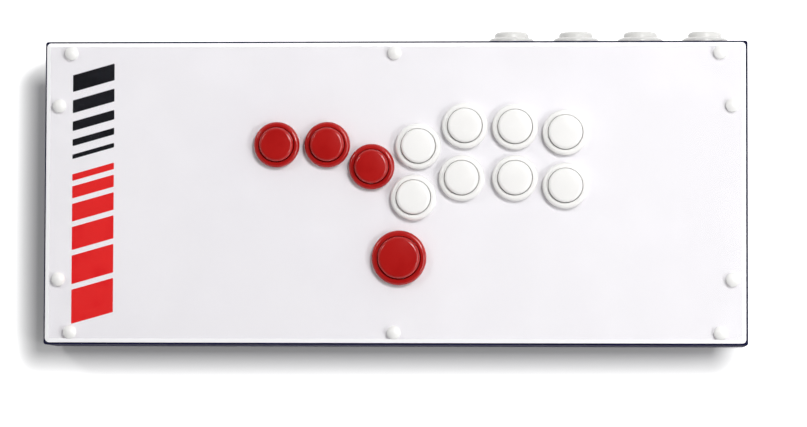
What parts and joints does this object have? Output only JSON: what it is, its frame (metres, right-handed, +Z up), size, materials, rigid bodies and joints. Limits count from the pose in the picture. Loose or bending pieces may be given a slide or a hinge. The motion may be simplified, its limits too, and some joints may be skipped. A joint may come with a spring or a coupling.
{
  "type": "all-button arcade controller",
  "caption": "Flat box controller with a clear screwed-down top over an art sheet, sprung round push buttons in place of a stick, and more buttons along the rear wall.",
  "frame": {"origin": "middle of the whole outline, rear caps included, on the surface that the feet stand on", "axes": "+X to the player's right, +Y towards the rear wall, +Z up"},
  "size_m": [0.413, 0.1854, 0.0644],
  "materials": {
    "case_paint": "fine textured powder coat, midnight blue",
    "clear_acrylic": "clear cast acrylic, polished, machined edges",
    "art_print": null,
    "button_red": "glossy moulded plastic, deep red",
    "button_white": "glossy moulded plastic, white",
    "white_nylon": "moulded white nylon",
    "dark_steel": "black oxide steel",
    "zinc_steel": "zinc plated steel",
    "foot_rubber": "moulded black rubber",
    "switch_plastic": "moulded black plastic",
    "terminal_brass": "stamped brass",
    "receptacle_red": "red insulating sleeve",
    "wire_yellow": "yellow wire insulation",
    "sleeve_black": "black sleeving",
    "clip_nylon": "natural nylon",
    "board_green": "green solder mask",
    "chip_black": "moulded epoxy",
    "connector_black": "moulded black plastic",
    "inlet_black": "moulded black plastic",
    "socket_shell": "nickel plated steel"
  },
  "bodies": {
    "case": {"case_shell": "case_paint", "base_plate": "case_paint", "base_screws": "dark_steel", "base_nuts": "zinc_steel", "rubber_feet": "foot_rubber", "foot_screws": "dark_steel", "foot_nuts": "zinc_steel", "art_sheet": "art_print", "clear_panel": "clear_acrylic", "panel_screws": "white_nylon", "press_nuts": "zinc_steel", "switch_bodies": "switch_plastic", "switch_terminals": "terminal_brass", "wire_receptacles": "receptacle_red", "branch_wires": "wire_yellow", "loom_sleeve": "sleeve_black", "cable_clips": "clip_nylon", "control_board": "board_green", "board_components": "chip_black", "board_header": "connector_black", "loom_plug": "connector_black", "board_standoffs": "zinc_steel", "board_screws": "zinc_steel", "usb_inlet": "inlet_black", "usb_socket": "socket_shell", "inlet_screws": "dark_steel", "inlet_nuts": "zinc_steel", "usb_lead": "sleeve_black", "left_housing": "button_red", "down_housing": "button_red", "right_housing": "button_red", "up_housing": "button_red", "action_1_housing": "button_white", "action_2_housing": "button_white", "action_3_housing": "button_white", "action_4_housing": "button_white", "action_5_housing": "button_white", "action_6_housing": "button_white", "action_7_housing": "button_white", "action_8_housing": "button_white", "rear_1_housing": "button_white", "rear_2_housing": "button_white", "rear_3_housing": "button_white", "rear_4_housing": "button_white"},
    "left_button": {"left_cap": "button_red"},
    "down_button": {"down_cap": "button_red"},
    "right_button": {"right_cap": "button_red"},
    "up_button": {"up_cap": "button_red"},
    "action_1_button": {"action_1_cap": "button_white"},
    "action_2_button": {"action_2_cap": "button_white"},
    "action_3_button": {"action_3_cap": "button_white"},
    "action_4_button": {"action_4_cap": "button_white"},
    "action_5_button": {"action_5_cap": "button_white"},
    "action_6_button": {"action_6_cap": "button_white"},
    "action_7_button": {"action_7_cap": "button_white"},
    "action_8_button": {"action_8_cap": "button_white"},
    "rear_1_button": {"rear_1_cap": "button_white"},
    "rear_2_button": {"rear_2_cap": "button_white"},
    "rear_3_button": {"rear_3_cap": "button_white"},
    "rear_4_button": {"rear_4_cap": "button_white"}
  },
  "joints": [
    {"name": "left_press", "type": "slide", "parent": "case", "child": "left_button", "axis": [0, 0, -1], "range_m": [0, 0.0026], "stiffness_N_per_m": 300, "springref_m": -0.002},
    {"name": "down_press", "type": "slide", "parent": "case", "child": "down_button", "axis": [0, 0, -1], "range_m": [0, 0.0026], "stiffness_N_per_m": 300, "springref_m": -0.002},
    {"name": "right_press", "type": "slide", "parent": "case", "child": "right_button", "axis": [0, 0, -1], "range_m": [0, 0.0026], "stiffness_N_per_m": 300, "springref_m": -0.002},
    {"name": "up_press", "type": "slide", "parent": "case", "child": "up_button", "axis": [0, 0, -1], "range_m": [0, 0.003], "stiffness_N_per_m": 300, "springref_m": -0.002},
    {"name": "action_1_press", "type": "slide", "parent": "case", "child": "action_1_button", "axis": [0, 0, -1], "range_m": [0, 0.0026], "stiffness_N_per_m": 300, "springref_m": -0.002},
    {"name": "action_2_press", "type": "slide", "parent": "case", "child": "action_2_button", "axis": [0, 0, -1], "range_m": [0, 0.0026], "stiffness_N_per_m": 300, "springref_m": -0.002},
    {"name": "action_3_press", "type": "slide", "parent": "case", "child": "action_3_button", "axis": [0, 0, -1], "range_m": [0, 0.0026], "stiffness_N_per_m": 300, "springref_m": -0.002},
    {"name": "action_4_press", "type": "slide", "parent": "case", "child": "action_4_button", "axis": [0, 0, -1], "range_m": [0, 0.0026], "stiffness_N_per_m": 300, "springref_m": -0.002},
    {"name": "action_5_press", "type": "slide", "parent": "case", "child": "action_5_button", "axis": [0, 0, -1], "range_m": [0, 0.0026], "stiffness_N_per_m": 300, "springref_m": -0.002},
    {"name": "action_6_press", "type": "slide", "parent": "case", "child": "action_6_button", "axis": [0, 0, -1], "range_m": [0, 0.0026], "stiffness_N_per_m": 300, "springref_m": -0.002},
    {"name": "action_7_press", "type": "slide", "parent": "case", "child": "action_7_button", "axis": [0, 0, -1], "range_m": [0, 0.0026], "stiffness_N_per_m": 300, "springref_m": -0.002},
    {"name": "action_8_press", "type": "slide", "parent": "case", "child": "action_8_button", "axis": [0, 0, -1], "range_m": [0, 0.0026], "stiffness_N_per_m": 300, "springref_m": -0.002},
    {"name": "rear_1_press", "type": "slide", "parent": "case", "child": "rear_1_button", "axis": [0, -1, 0], "range_m": [0, 0.0026], "stiffness_N_per_m": 300, "springref_m": -0.002},
    {"name": "rear_2_press", "type": "slide", "parent": "case", "child": "rear_2_button", "axis": [0, -1, 0], "range_m": [0, 0.0026], "stiffness_N_per_m": 300, "springref_m": -0.002},
    {"name": "rear_3_press", "type": "slide", "parent": "case", "child": "rear_3_button", "axis": [0, -1, 0], "range_m": [0, 0.0026], "stiffness_N_per_m": 300, "springref_m": -0.002},
    {"name": "rear_4_press", "type": "slide", "parent": "case", "child": "rear_4_button", "axis": [0, -1, 0], "range_m": [0, 0.0026], "stiffness_N_per_m": 300, "springref_m": -0.002}
  ]
}
